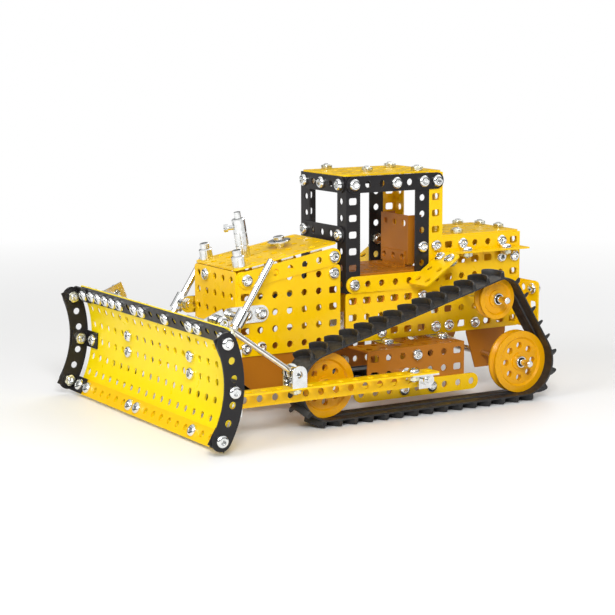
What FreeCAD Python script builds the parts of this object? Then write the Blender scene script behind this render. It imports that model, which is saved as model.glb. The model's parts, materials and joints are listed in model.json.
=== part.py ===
"""Toy bulldozer from a perforated-metal construction set, in millimetres.

X = 0 is the mid-plane, +X is the vehicle's left, the blade faces -Y and
the sheets lie on a 10 mm hole pitch.  The sizes below count Y from half way
between the front and rear axles; the written pieces are moved by middle_y and
ground_z, so that their Y = 0 is the middle of the whole length and their Z = 0
is the ground under the belts.
"""
import FreeCAD, Part
import math
import os
import Sketcher

Vector = FreeCAD.Vector
doc = FreeCAD.newDocument("toy_bulldozer")

# ---------------------------------------------------------------- dimensions
DIMENSIONS = {
    # middle of the whole length, from blade to rear bolts
    "middle_y": -32.56,
    # height of the ground under the belts' cleats
    "ground_z": -1.3,
    # the hole system and its hardware
    "pitch": 10.0,
    "gauge": 1.0,
    "margin": 5.0,
    "corner_radius": 2.4,
    "hole_diameter": 4.1,
    "slot_length": 5.8,
    "slot_height": 4.2,
    "slot_corner": 1.2,
    "bend_radius": 1.0,
    "thread_diameter": 3.9,
    "head_diameter": 7.2,
    "head_height": 2.4,
    "socket_width": 2.6,
    "socket_depth": 1.3,
    "nut_width": 6.4,
    "nut_height": 2.6,
    "nut_bore": 4.0,
    "rod_diameter": 4.0,
    "running_clearance": 0.06,
    # body, hood and cab
    "half_width": 25.0,
    "hood_first_y": -102.0,
    "hood_first_z": 41.2,
    "hood_rise": 10.0,
    "hood_gap": 1.4,
    "body_first_y": -28.0,
    "body_first_z": 42.9,
    "cab_columns": 7.0,
    "seat_y": 19.0,
    "seat_z": 86.0,
    "floor_z": 79.0,
    # running gear
    "axle_y": 70.0,
    "axle_z": 22.5,
    "upper_axle_y": 52.0,
    "upper_axle_z": 62.9,
    "wheel_x": 59.5,
    "wheel_radius": 19.0,
    "upper_wheel_radius": 12.5,
    "wheel_width": 7.0,
    "upper_wheel_width": 7.0,
    "axle_tip_x": 73.5,
    "front_tip_x": 70.6,
    "belt_x": 60.3,
    "belt_width": 20.0,
    "belt_thickness": 1.2,
    "cleat_height": 3.5,
    "belt_clearance": 0.1,
    "frame_x": 50.0,
    "frame_first_y": -28.0,
    "frame_first_z": 11.5,
    # push frame and blade
    "arm_x": 72.0,
    "arm_first_y": -138.8,
    "arm_z": 21.5,
    "arm_rear_y": -4.0,
    "tab_x": 71.2,
    "tab_height": 12.5,
    "tab_hole": 7.5,
    "lug_x": 73.0,
    "brace_bracket_x": 65.0,
    "pivot_y": -8.0,
    "blade_half_width": 100.0,
    "blade_centre_y": -210.1,
    "blade_centre_z": 37.8,
    "blade_tilt": -4.1,
    "blade_radius": 65.6,
    "blade_rows": 7.0,
    "end_hole_radius": 59.4,
    "end_width": 12.0,
    # lift ram
    "ram_x": 38.0,
    "ear_x": 33.0,
    "bracket_low": 12.0,
    "bracket_tall": 38.0,
    "bracket_deep": 14.0,
    "ram_angle": 57.3,
    "ram_below": 40.0,
    "ram_above": 38.5,
    "eye_diameter": 9.6,
    "eye_bore": 6.6,
    "sleeve_diameter": 7.6,
    "sleeve_length": 10.0,
}

sheet = doc.addObject("Spreadsheet::Sheet", "dims")
for row, (alias, value) in enumerate(DIMENSIONS.items(), start=1):
    sheet.set("A%d" % row, alias)
    sheet.set("B%d" % row, "%g" % value)
    sheet.setAlias("B%d" % row, alias)
doc.recompute()


def dim(name):
    """A dimension read back from the sheet."""
    return float(getattr(sheet, name))


# --------------------------------------------------------------- orientation
# A flat sheet is drawn in its body's XY plane, its first hole at the origin.
LYING = FreeCAD.Rotation()
SIDE = FreeCAD.Rotation(Vector(0, 1, 0), Vector(0, 0, 1), Vector(1, 0, 0), "ZXY")
FRONT = FreeCAD.Rotation(Vector(1, 0, 0), Vector(0, 0, 1), Vector(0, -1, 0), "ZXY")
# a bent sheet is drawn in section and runs towards -Y
ALONG_Y = FRONT
# columns of the body's holes that carry the track frames' hangers
HANGER_COLUMNS = (2, 6)

exported = []


def keep(piece, name):
    """Names a sub-part and marks it for export."""
    piece.Label = name
    exported.append(piece)
    return piece


def place(piece, rotation, x, y, z):
    """Sets a piece down, each coordinate an expression over the sheet."""
    piece.Placement = FreeCAD.Placement(Vector(0, 0, 0), rotation)
    for axis, expression in zip("xyz", (x, y, z)):
        piece.setExpression("Placement.Base." + axis, str(expression))
    return piece


def mirrored(piece, name):
    """The same piece on the other side of the mid-plane."""
    twin = doc.addObject("Part::Mirroring", name)
    twin.Source = piece
    twin.Normal = Vector(1, 0, 0)
    return twin


def group(name, members):
    """Several separate pieces of one kind, kept in one node."""
    compound = doc.addObject("Part::Compound", name)
    compound.Links = members
    return keep(compound, name)


def pair(piece, name):
    """A left piece and its right twin, each in its own node."""
    keep(piece, name + "_left")
    keep(mirrored(piece, name + "_right"), name + "_right")


def pair_group(piece, name):
    """A left piece and its right twin in one node."""
    return group(name, [piece, mirrored(piece, name + "_twin")])


# ------------------------------------------------------------------ sketches
def origin_plane(body, role):
    return [part for part in body.Origin.OriginFeatures if part.Role == role][0]


def new_sketch(body, role, name):
    sketch = body.newObject("Sketcher::SketchObject", name)
    sketch.AttachmentSupport = [(origin_plane(body, role), "")]
    sketch.MapMode = "FlatFace"
    return sketch


def bind(sketch, constraint, expression):
    index = sketch.addConstraint(constraint)
    sketch.setExpression("Constraints[%d]" % index, expression)


def rounded_rectangle(sketch, left, low, width, height, radius):
    """A rounded rectangle; each size is a pair of value and expression.

    left and low are the distances from its left and low sides to the origin.
    """
    x0, y0 = -left[0], -low[0]
    x1, y1 = x0 + width[0], y0 + height[0]
    r = radius[0]
    first = sketch.GeometryCount
    lines = (
        (Vector(x0 + r, y0, 0), Vector(x1 - r, y0, 0)),
        (Vector(x1, y0 + r, 0), Vector(x1, y1 - r, 0)),
        (Vector(x1 - r, y1, 0), Vector(x0 + r, y1, 0)),
        (Vector(x0, y1 - r, 0), Vector(x0, y0 + r, 0)),
    )
    for start, end in lines:
        sketch.addGeometry(Part.LineSegment(start, end))
    centres = ((x1 - r, y0 + r), (x1 - r, y1 - r), (x0 + r, y1 - r), (x0 + r, y0 + r))
    for quarter, (cx, cy) in enumerate(centres):
        circle = Part.Circle(Vector(cx, cy, 0), Vector(0, 0, 1), r)
        start = (quarter - 1) * math.pi / 2
        sketch.addGeometry(Part.ArcOfCircle(circle, start, start + math.pi / 2))
    for side in range(4):
        arc = first + 4 + side
        sketch.addConstraint(Sketcher.Constraint("Tangent", first + side, 2, arc, 1))
        following = first + (side + 1) % 4
        sketch.addConstraint(Sketcher.Constraint("Tangent", arc, 2, following, 1))
        direction = "Horizontal" if side % 2 == 0 else "Vertical"
        if side < 2:
            sketch.addConstraint(Sketcher.Constraint(direction, first + side))
    for arc in range(first + 5, first + 8):
        sketch.addConstraint(Sketcher.Constraint("Equal", first + 4, arc))
    constraint = Sketcher.Constraint
    bind(sketch, constraint("Radius", first + 4, r), radius[1])
    bind(sketch, constraint("DistanceX", first + 3, 1, first + 1, 1, width[0]), width[1])
    bind(sketch, constraint("DistanceY", first, 1, first + 2, 1, height[0]), height[1])
    bind(sketch, constraint("DistanceX", first + 3, 1, -1, 1, left[0]), left[1])
    bind(sketch, constraint("DistanceY", first, 1, -1, 1, low[0]), low[1])


def polygon(sketch, points):
    """A closed outline of straight sides."""
    first = sketch.GeometryCount
    count = len(points)
    for index in range(count):
        start = Vector(points[index][0], points[index][1], 0)
        end = Vector(points[(index + 1) % count][0], points[(index + 1) % count][1], 0)
        sketch.addGeometry(Part.LineSegment(start, end))
    for index in range(count):
        after = first + (index + 1) % count
        sketch.addConstraint(Sketcher.Constraint("Coincident", first + index, 2, after, 1))


def circle(sketch, x, y, diameter, expression):
    index = sketch.addGeometry(Part.Circle(Vector(x, y, 0), Vector(0, 0, 1), diameter / 2))
    bind(sketch, Sketcher.Constraint("Diameter", index, diameter), expression)
    return index


# ------------------------------------------------------------------ features
def pad(body, sketch, length):
    feature = body.newObject("PartDesign::Pad", "pad")
    feature.Profile = sketch
    feature.setExpression("Length", length)
    return feature


def cut_through(body, sketch):
    feature = body.newObject("PartDesign::Pocket", "cut")
    feature.Profile = sketch
    feature.Type = "ThroughAll"
    feature.SideType = "Symmetric"
    return feature


def repeat(body, cut, sketch, columns, rows, step=1, row_step=1):
    """Repeats a cut over a grid along the sketch's two axes, steps in pitches."""
    if columns == 1 and rows == 1:
        return
    doc.recompute()
    pattern = body.newObject("PartDesign::LinearPattern", "grid")
    pattern.Originals = [cut]
    runs = [("H_Axis", columns, step), ("V_Axis", rows, row_step)]
    runs = [run for run in runs if run[1] > 1]
    axis, count, pitches = runs[0]
    pattern.Direction = (sketch, [axis])
    pattern.setExpression("Length", "dims.pitch * %d" % (pitches * (count - 1)))
    pattern.Occurrences = count
    if len(runs) > 1:
        axis, count, pitches = runs[1]
        pattern.Direction2 = (sketch, [axis])
        pattern.setExpression("Length2", "dims.pitch * %d" % (pitches * (count - 1)))
        pattern.Occurrences2 = count
    body.Tip = pattern


def round_holes(body, role, x, y, columns=1, rows=1):
    sketch = new_sketch(body, role, "hole")
    circle(sketch, x, y, dim("hole_diameter"), "dims.hole_diameter")
    repeat(body, cut_through(body, sketch), sketch, columns, rows)


def slots(body, role, x, y, columns, rows, step=1, row_step=1, upright=False):
    """Rounded rectangular holes, centred on the hole pitch."""
    sketch = new_sketch(body, role, "slot")
    sides = ("slot_length", "slot_height")
    wide, high = reversed(sides) if upright else sides
    rounded_rectangle(
        sketch,
        (dim(wide) / 2 - x, "dims.%s / 2 - %g" % (wide, x)),
        (dim(high) / 2 - y, "dims.%s / 2 - %g" % (high, y)),
        (dim(wide), "dims." + wide),
        (dim(high), "dims." + high),
        (dim("slot_corner"), "dims.slot_corner"),
    )
    repeat(body, cut_through(body, sketch), sketch, columns, rows, step, row_step)


# ---------------------------------------------------------- kinds of sheet
def span(count):
    """Outer length of a sheet that has count holes in a row."""
    value = dim("pitch") * (count - 1) + 2 * dim("margin")
    return value, "dims.pitch * %d + dims.margin * 2" % (count - 1)


def plate(name, columns, rows, slotted=None):
    """A flat perforated plate, slotted in its end columns or all round its rim."""
    body = doc.addObject("PartDesign::Body", name)
    outline = new_sketch(body, "XY_Plane", "outline")
    edge = (dim("margin"), "dims.margin")
    corner = (dim("corner_radius"), "dims.corner_radius")
    rounded_rectangle(outline, edge, edge, span(columns), span(rows), corner)
    pad(body, outline, "dims.gauge")
    pitch = dim("pitch")
    if slotted is None:
        round_holes(body, "XY_Plane", 0, 0, columns, rows)
        return body
    slots(body, "XY_Plane", 0, 0, 2, rows, step=columns - 1)
    if slotted == "ends":
        round_holes(body, "XY_Plane", pitch, 0, columns - 2, rows)
    else:
        round_holes(body, "XY_Plane", pitch, pitch, columns - 2, rows - 2)
        slots(body, "XY_Plane", pitch, 0, columns - 2, 2, row_step=rows - 1)
    return body


def strip(name, holes):
    """A strip with half-round ends and one row of holes."""
    body = doc.addObject("PartDesign::Body", name)
    outline = new_sketch(body, "XY_Plane", "outline")
    margin = dim("margin")
    reach = dim("pitch") * (holes - 1)
    near = Part.Circle(Vector(0, 0, 0), Vector(0, 0, 1), margin)
    far = Part.Circle(Vector(reach, 0, 0), Vector(0, 0, 1), margin)
    outline.addGeometry(Part.ArcOfCircle(near, math.pi / 2, 3 * math.pi / 2))
    outline.addGeometry(Part.LineSegment(Vector(0, -margin, 0), Vector(reach, -margin, 0)))
    outline.addGeometry(Part.ArcOfCircle(far, -math.pi / 2, math.pi / 2))
    outline.addGeometry(Part.LineSegment(Vector(reach, margin, 0), Vector(0, margin, 0)))
    for index in range(4):
        joint = Sketcher.Constraint("Tangent", index, 2, (index + 1) % 4, 1)
        outline.addConstraint(joint)
    outline.addConstraint(Sketcher.Constraint("Coincident", 0, 3, -1, 1))
    outline.addConstraint(Sketcher.Constraint("Horizontal", 1))
    bind(outline, Sketcher.Constraint("Radius", 0, margin), "dims.margin")
    length = "dims.pitch * %d" % (holes - 1)
    bind(outline, Sketcher.Constraint("DistanceX", 0, 3, 2, 3, reach), length)
    pad(body, outline, "dims.gauge")
    round_holes(body, "XY_Plane", 0, 0, holes)
    return body


def bent(name, section, length):
    """A sheet section drawn in the XY plane and drawn out along +Z."""
    body = doc.addObject("PartDesign::Body", name)
    outline = new_sketch(body, "XY_Plane", "section")
    polygon(outline, section)
    pad(body, outline, length)
    return body


# ---------------------------------------------------------------------- hood
def hood():
    gauge = dim("gauge")
    side = plate("hood_side", 7, 5, slotted="ends")
    place(side, SIDE, "dims.half_width", "dims.hood_first_y", "dims.hood_first_z")
    pair(side, "hood_side")

    slope = math.degrees(math.asin(dim("hood_rise") / (6 * dim("pitch"))))
    rail = strip("hood_rail", 7)
    pitch_up = FreeCAD.Rotation(Vector(1, 0, 0), slope).multiply(SIDE)
    run = 6 * dim("pitch") * math.cos(math.radians(slope))
    lost = (6 * dim("pitch") - run) / 2
    place(
        rail, pitch_up, "dims.half_width + dims.gauge", "dims.hood_first_y + %g" % lost,
        "dims.hood_first_z + dims.pitch * 4",
    )
    pair_group(rail, "hood_rails")

    front = plate("hood_front_plate", 5, 5)
    place(front, FRONT, "-2 * dims.pitch", "dims.hood_first_y - dims.margin", "dims.hood_first_z")
    keep(front, "hood_front_plate")

    lift = dim("margin") + dim("hood_gap")
    tilt = FreeCAD.Rotation(Vector(1, 0, 0), slope)
    rise = tilt.multVec(Vector(0, 0, lift))
    top = plate("hood_top_plate", 5, 7)
    place(
        top, tilt, "-2 * dims.pitch", "dims.hood_first_y + %g" % (rise.y + lost),
        "dims.hood_first_z + dims.pitch * 4 + %g" % rise.z,
    )
    keep(top, "hood_top_plate")

    # angle pieces between the rails and the top plate
    spacers = []
    for index in (1, 3, 5):
        reach = 8.5
        section = [
            (0, -lift - 2.0), (gauge, -lift - 2.0), (gauge, -gauge),
            (reach, -gauge), (reach, 0), (0, 0),
        ]
        piece = bent("spacer_%d" % index, section, "dims.pitch * 0.8")
        along = (index * dim("pitch")) - 0.4 * dim("pitch")
        spot = tilt.multVec(Vector(0, along, lift))
        turn = tilt.multiply(
            FreeCAD.Rotation(Vector(-1, 0, 0), Vector(0, 0, 1), Vector(0, 1, 0), "ZXY")
        )
        place(
            piece, turn, "dims.half_width - 0.05",
            "dims.hood_first_y + %g" % (spot.y + lost),
            "dims.hood_first_z + dims.pitch * 4 + %g" % spot.z,
        )
        spacers += [piece, mirrored(piece, "spacer_twin_%d" % index)]
    group("hood_top_brackets", spacers)
    return tilt, lost, lift


# --------------------------------------------------------------- lower body
def lower_body():
    front = plate("body_front_side", 7, 3, slotted="rim")
    place(front, SIDE, "dims.half_width", "dims.body_first_y", "dims.body_first_z")
    pair_group(front, "body_front_sides")

    rear = plate("body_rear_side", 6, 5, slotted="rim")
    place(
        rear, SIDE, "dims.half_width", "dims.body_first_y + dims.pitch * dims.cab_columns",
        "dims.body_first_z",
    )
    pair(rear, "body_rear_side")

    back = plate("body_rear_plate", 5, 6)
    place(
        back, FRONT, "-2 * dims.pitch",
        "dims.body_first_y + dims.pitch * 12 + dims.margin", "dims.body_first_z",
    )
    keep(back, "body_rear_plate")

    cross = plate("rear_cross_plate", 9, 3, slotted="ends")
    place(
        cross, FRONT, "-4 * dims.pitch",
        "dims.body_first_y + dims.pitch * 12 + dims.margin + dims.gauge", "dims.body_first_z",
    )
    keep(cross, "rear_cross_plate")

    # tank sides: an upright flange and a ledge turned outward
    gauge, pitch, margin = dim("gauge"), dim("pitch"), dim("margin")
    ledge = [
        (0, 0), (pitch + gauge, 0), (pitch + gauge, gauge),
        (gauge, gauge), (gauge, pitch), (0, pitch),
    ]
    side = bent("tank_side", ledge, "dims.pitch * 5 + dims.margin * 2")
    round_holes(side, "YZ_Plane", margin, margin + pitch, 1, 4)
    slots(side, "YZ_Plane", margin, margin, 1, 2, row_step=5, upright=True)
    round_holes(side, "XZ_Plane", gauge + margin, margin, 1, 6)
    place(
        side, ALONG_Y, "dims.half_width",
        "dims.body_first_y + dims.pitch * 12 + dims.margin",
        "dims.body_first_z + dims.pitch * 4 + dims.margin",
    )
    pair_group(side, "tank_sides")

    top = plate("tank_top_plate", 5, 6)
    place(
        top, LYING, "-2 * dims.pitch", "dims.body_first_y + dims.pitch * dims.cab_columns",
        "dims.body_first_z + dims.pitch * 5 + dims.margin",
    )
    keep(top, "tank_top_plate")


# ----------------------------------------------------------------------- cab
def cab():
    gauge, pitch, margin = dim("gauge"), dim("pitch"), dim("margin")
    column = "dims.pitch * 6 + dims.margin * 2"
    outer = dim("half_width") + gauge
    first_z = "dims.body_first_z + dims.pitch * 3 - dims.margin"

    # the section's corner is at the origin; one flange runs -X, one runs +Y
    section = [
        (0, 0), (0, pitch), (-gauge, pitch),
        (-gauge, gauge), (-pitch, gauge), (-pitch, 0),
    ]
    post = bent("cab_front_post", section, column)
    round_holes(post, "XZ_Plane", 20.0 - outer, margin, 1, 7)
    slots(post, "YZ_Plane", margin, margin, 1, 7)
    place(
        post, LYING, "dims.half_width + dims.gauge", "dims.body_first_y - dims.margin", first_z
    )
    pair_group(post, "cab_front_posts")

    rear_post = plate("cab_rear_post", 1, 7)
    place(
        rear_post, SIDE, "dims.half_width", "dims.body_first_y + dims.pitch * 5",
        "dims.body_first_z + dims.pitch * 3",
    )
    pair_group(rear_post, "cab_rear_posts")

    corner = bent("cab_corner_post", [(x, -y) for x, y in section], column)
    round_holes(corner, "XZ_Plane", 20.0 - outer, margin, 1, 7)
    slots(corner, "YZ_Plane", -margin, margin, 1, 7)
    place(
        corner, LYING, "dims.half_width + dims.gauge",
        "dims.body_first_y + dims.pitch * 6 + dims.margin", first_z,
    )
    pair_group(corner, "cab_corner_posts")

    side_strip = strip("cab_side_strip", 7)
    place(
        side_strip, SIDE, "dims.half_width + dims.gauge", "dims.body_first_y",
        "dims.body_first_z + dims.pitch * 9",
    )
    pair_group(side_strip, "cab_side_strips")

    front_strips = []
    for level in (9, 6):
        front_strip = strip("cab_front_strip_%d" % level, 5)
        place(
            front_strip, FRONT, "-2 * dims.pitch", "dims.body_first_y - dims.margin",
            "dims.body_first_z + dims.pitch * %d" % level,
        )
        front_strips.append(front_strip)
    group("cab_front_strips", front_strips)

    roof = plate("cab_roof", 5, 7)
    place(
        roof, LYING, "-2 * dims.pitch", "dims.body_first_y",
        "dims.body_first_z + dims.pitch * 9 + dims.margin",
    )
    keep(roof, "cab_roof")

    sill = strip("cab_sill", 6)
    place(
        sill, SIDE, "dims.half_width + dims.gauge", "dims.body_first_y",
        "dims.body_first_z + dims.pitch * 3",
    )
    pair_group(sill, "cab_sills")

    # floor: a channel whose flanges hang down inside the side sheets
    half, drop = dim("half_width"), 2 * pitch
    floor_section = [
        (-half, -drop), (-half + gauge, -drop), (-half + gauge, -gauge),
        (half - gauge, -gauge), (half - gauge, -drop), (half, -drop),
        (half, 0), (-half, 0),
    ]
    floor = bent("cab_floor", floor_section, "dims.pitch * 5 + dims.margin * 2 - dims.gauge")
    round_holes(floor, "XZ_Plane", -2 * pitch, margin, 5, 6)
    level = dim("floor_z") - dim("body_first_z")
    round_holes(floor, "YZ_Plane", 3 * pitch - level, margin, 1, 6)
    round_holes(floor, "YZ_Plane", 2 * pitch - level, margin, 1, 6)
    place(
        floor, ALONG_Y, "0", "dims.body_first_y + dims.pitch * 5 + dims.margin", "dims.floor_z",
    )
    keep(floor, "cab_floor")

    # seat: a three-hole wide channel standing on end, with a foot at the front
    seat_half = 1.5 * pitch
    seat_section = [
        (-seat_half, pitch), (-seat_half, 0), (seat_half, 0), (seat_half, pitch),
        (seat_half - gauge, pitch), (seat_half - gauge, gauge),
        (-seat_half + gauge, gauge), (-seat_half + gauge, pitch),
    ]
    seat = bent("seat_back", seat_section, "dims.pitch * 3")
    round_holes(seat, "XZ_Plane", -pitch, margin, 3, 1)
    round_holes(seat, "XZ_Plane", -pitch, margin + 2 * pitch, 3, 1)
    place(seat, LYING, "0", "dims.seat_y", "dims.seat_z - dims.margin")
    keep(seat, "seat_back")

    foot_section = [
        (0, 0), (0, pitch - 0.5), (-gauge, pitch - 0.5),
        (-gauge, gauge), (-pitch, gauge), (-pitch, 0),
    ]
    foot = bent("seat_foot", foot_section, "dims.pitch * 2.4")
    round_holes(foot, "YZ_Plane", margin + 1.0, 0.2 * pitch, 1, 3)
    round_holes(foot, "XZ_Plane", -margin - 1.0, 0.2 * pitch, 1, 3)
    place(foot, SIDE, "-dims.pitch * 1.2", "dims.seat_y", "dims.floor_z + 0.02")
    keep(foot, "seat_foot")


# ------------------------------------------------------------------- fenders
def fenders():
    """Mudguards that climb from the sills to the ledges of the tank."""
    pitch = dim("pitch")
    slope = 35.0
    rise = FreeCAD.Rotation(Vector(1, 0, 0), slope)
    guard = plate("fender", 2, 3)
    inner = dim("half_width") + 2 * dim("gauge") + dim("margin")
    low = Vector(inner, dim("body_first_y") + 3.95 * pitch, dim("body_first_z") + 2.8 * pitch)
    first = low + rise.multVec(Vector(0, dim("margin"), 0))
    place(guard, rise, first.x, first.y, first.z)
    pair_group(guard, "fenders")
    return first, rise


# --------------------------------------------------------------- hood detail
def solid_feature(name, shape, placement=None):
    """A piece made with Part's own solids, sized from the sheet."""
    feature = doc.addObject("Part::Feature", name)
    feature.Shape = shape
    if placement is not None:
        feature.Placement = placement
    return feature


def turned(points):
    """A solid of revolution about Z from (radius, height) points."""
    wire = Part.makePolygon([Vector(r, 0, z) for r, z in points + points[:1]])
    return Part.Face(wire).revolve(Vector(0, 0, 0), Vector(0, 0, 1), 360)


def hood_details(tilt, lost, lift):
    gauge, pitch = dim("gauge"), dim("pitch")
    corner = Vector(0, dim("hood_first_y") + lost, dim("hood_first_z") + 4 * pitch)

    def on_hood(x, along, above=0.0):
        """A point on the hood's top face, along from the front hole row."""
        return corner + Vector(x, 0, 0) + tilt.multVec(Vector(0, along, lift + gauge + above))

    rod, sleeve = dim("rod_diameter") / 2, 4.0
    stack = turned([
        (0, 0), (rod, 0), (rod, 0.01), (sleeve, 0.01), (sleeve, 7.2), (sleeve - 0.4, 7.5),
        (sleeve, 7.8), (sleeve, 14.8), (sleeve - 0.4, 15.1), (sleeve, 15.4),
        (sleeve, 23.0), (sleeve - 0.8, 23.6), (rod, 23.6), (rod, 27.5), (0, 27.5),
    ])
    screw = Part.makeCylinder(1.4, 5.0, Vector(0, -3.6, 19.0), Vector(-0.6, -0.8, 0))
    knob = Part.makeCylinder(2.3, 2.4, Vector(-2.1, -6.4, 19.0), Vector(-0.6, -0.8, 0))
    stack = stack.fuse(screw).fuse(knob).removeSplitter()
    place_stack = FreeCAD.Placement(on_hood(0, 15.0), tilt)
    keep(solid_feature("exhaust_stack", stack, place_stack), "exhaust_stack")

    collar = turned([
        (0, 0), (4.0, 0), (4.0, 6.0), (3.4, 6.6), (2.9, 6.6), (2.9, 9.6), (2.5, 10.0), (0, 10.0),
    ])
    socket = Part.makeCylinder(1.4, 1.6, Vector(0, 0, 8.5))
    collar = collar.cut(socket)
    collars = []
    for side in (-1, 1):
        spot = FreeCAD.Placement(on_hood(side * 20.0, 0.5), tilt)
        collars.append(solid_feature("collar", collar, spot))
    group("hood_collars", collars)

    cap = turned([
        (0, 0), (2.6, 0), (2.6, 3.4), (7.0, 3.4), (7.0, 4.2), (6.4, 4.6), (3.3, 4.6),
        (3.3, 6.6), (2.7, 7.0), (0, 7.0),
    ])
    spot = FreeCAD.Placement(on_hood(0, 40.0), tilt)
    keep(solid_feature("filler_cap", cap, spot), "filler_cap")


# --------------------------------------------------------------- track frame
def track_frames():
    gauge, pitch, margin = dim("gauge"), dim("pitch"), dim("margin")
    # an inverted L: the outer face with three rows, the top turned inward
    face = 3 * pitch
    section = [
        (0, 0), (gauge, 0), (gauge, face), (-2 * pitch, face),
        (-2 * pitch, face - gauge), (0, face - gauge),
    ]
    frame = bent("track_frame", section, "dims.pitch * 6 + dims.margin * 2")
    round_holes(frame, "YZ_Plane", margin, margin + pitch, 3, 5)
    slots(frame, "YZ_Plane", margin, margin, 3, 2, row_step=6, upright=True)
    round_holes(frame, "XZ_Plane", -margin - pitch, margin, 2, 7)
    place(
        frame, ALONG_Y, "dims.frame_x - dims.gauge",
        "dims.frame_first_y + dims.pitch * 6 + dims.margin", "dims.frame_first_z - dims.margin",
    )
    pair(frame, "track_frame")

    lower = strip("track_strip", 9)
    place(lower, SIDE, "dims.frame_x", "dims.frame_first_y - dims.pitch", "dims.frame_first_z")
    pair_group(lower, "track_strips")


def hanger_bolt_x():
    """The inner hole row of the track frame's top flange."""
    return dim("frame_x") - dim("gauge") - dim("pitch") - dim("margin")


# -------------------------------------------------------------- running gear
def tangent_angle(near, far):
    """Direction of the outer tangent from one (x, y, radius) circle to the next."""
    dx, dy = far[0] - near[0], far[1] - near[1]
    return math.atan2(dy, dx) + math.asin((near[2] - far[2]) / math.hypot(dx, dy))


def belt_loop(sketch, wheels, offset):
    """A closed loop of arcs and tangents round (x, y, radius, names) wheels."""
    circles = [(x, y, radius + offset[0]) for x, y, radius, names in wheels]
    count = len(circles)
    headings = [tangent_angle(circles[i], circles[(i + 1) % count]) for i in range(count)]
    first = sketch.GeometryCount
    for index, (x, y, radius) in enumerate(circles):
        begin = headings[index - 1] - math.pi / 2
        end = headings[index] - math.pi / 2
        while end < begin:
            end += 2 * math.pi
        ring = Part.Circle(Vector(x, y, 0), Vector(0, 0, 1), radius)
        sketch.addGeometry(Part.ArcOfCircle(ring, begin, end))
        following = circles[(index + 1) % count]
        right = Vector(math.sin(headings[index]), -math.cos(headings[index]), 0)
        start = Vector(x, y, 0) + right * radius
        finish = Vector(following[0], following[1], 0) + right * following[2]
        sketch.addGeometry(Part.LineSegment(start, finish))
    constraint = Sketcher.Constraint
    for index, (x, y, radius, names) in enumerate(wheels):
        arc = first + 2 * index
        sketch.addConstraint(constraint("Tangent", arc, 2, arc + 1, 1))
        sketch.addConstraint(constraint("Tangent", arc + 1, 2, first + (2 * index + 2) % (2 * count), 1))
        bind(sketch, constraint("Radius", arc, radius + offset[0]), names[2] + offset[1])
        ends = (arc, 3, -1, 1) if x < 0 else (-1, 1, arc, 3)
        bind(sketch, constraint("DistanceX", *ends, abs(x)), names[0])
        bind(sketch, constraint("DistanceY", -1, 1, arc, 3, y), names[1])


def belts():
    """A rubber belt round three wheels; its cleats fill the outer part."""
    wheels = [
        (dim("axle_y"), dim("axle_z"), dim("wheel_radius"),
         ("dims.axle_y", "dims.axle_z", "dims.wheel_radius")),
        (dim("upper_axle_y"), dim("upper_axle_z"), dim("upper_wheel_radius"),
         ("dims.upper_axle_y", "dims.upper_axle_z", "dims.upper_wheel_radius")),
        (-dim("axle_y"), dim("axle_z"), dim("wheel_radius"),
         ("dims.axle_y", "dims.axle_z", "dims.wheel_radius")),
    ]
    body = doc.addObject("PartDesign::Body", "belt")
    outline = new_sketch(body, "XY_Plane", "loop")
    thickness = dim("belt_thickness") + dim("cleat_height")
    inside = (dim("belt_clearance"), " + dims.belt_clearance")
    outside = (
        dim("belt_clearance") + thickness,
        " + dims.belt_clearance + dims.belt_thickness + dims.cleat_height",
    )
    belt_loop(outline, wheels, inside)
    belt_loop(outline, wheels, outside)
    pad(body, outline, "dims.belt_width")
    place(body, SIDE, "dims.belt_x - dims.belt_width / 2", 0, 0)
    pair(body, "belt")


def wheel(name, radius, width, lightening_holes):
    """A pulley wheel: rims, groove, recessed web and a bore for its bush."""
    body = doc.addObject("PartDesign::Body", name)
    outline = new_sketch(body, "XZ_Plane", "profile")
    half = dim(width) / 2
    rim = dim(radius)
    bore, boss = 3.6, 5.2
    inner_web, outer_web = -1.0, half - 1.2
    rim_inner = rim * 0.8
    profile = [
        (bore, -half - 0.6), (boss, -half - 0.6), (boss, inner_web),
        (rim_inner - 1.0, inner_web), (rim_inner, -half), (rim, -half),
        (rim, -half + 1.2), (rim - 1.9, -0.9), (rim - 1.9, 0.9), (rim, half - 1.2),
        (rim, half), (rim_inner, half), (rim_inner - 1.0, outer_web),
        (boss, outer_web), (boss, half - 0.4), (bore, half - 0.4),
    ]
    polygon(outline, profile)
    spin = body.newObject("PartDesign::Revolution", "wheel")
    spin.Profile = outline
    spin.ReferenceAxis = (outline, ["V_Axis"])
    spin.Angle = 360
    if lightening_holes:
        doc.recompute()
        sketch = new_sketch(body, "XY_Plane", "hole")
        circle(sketch, dim("pitch"), 0, dim("hole_diameter"), "dims.hole_diameter")
        cut = cut_through(body, sketch)
        doc.recompute()
        ring = body.newObject("PartDesign::PolarPattern", "ring")
        ring.Originals = [cut]
        ring.Axis = (sketch, ["N_Axis"])
        ring.Angle = 360
        ring.Occurrences = lightening_holes
        body.Tip = ring
    return body


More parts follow.
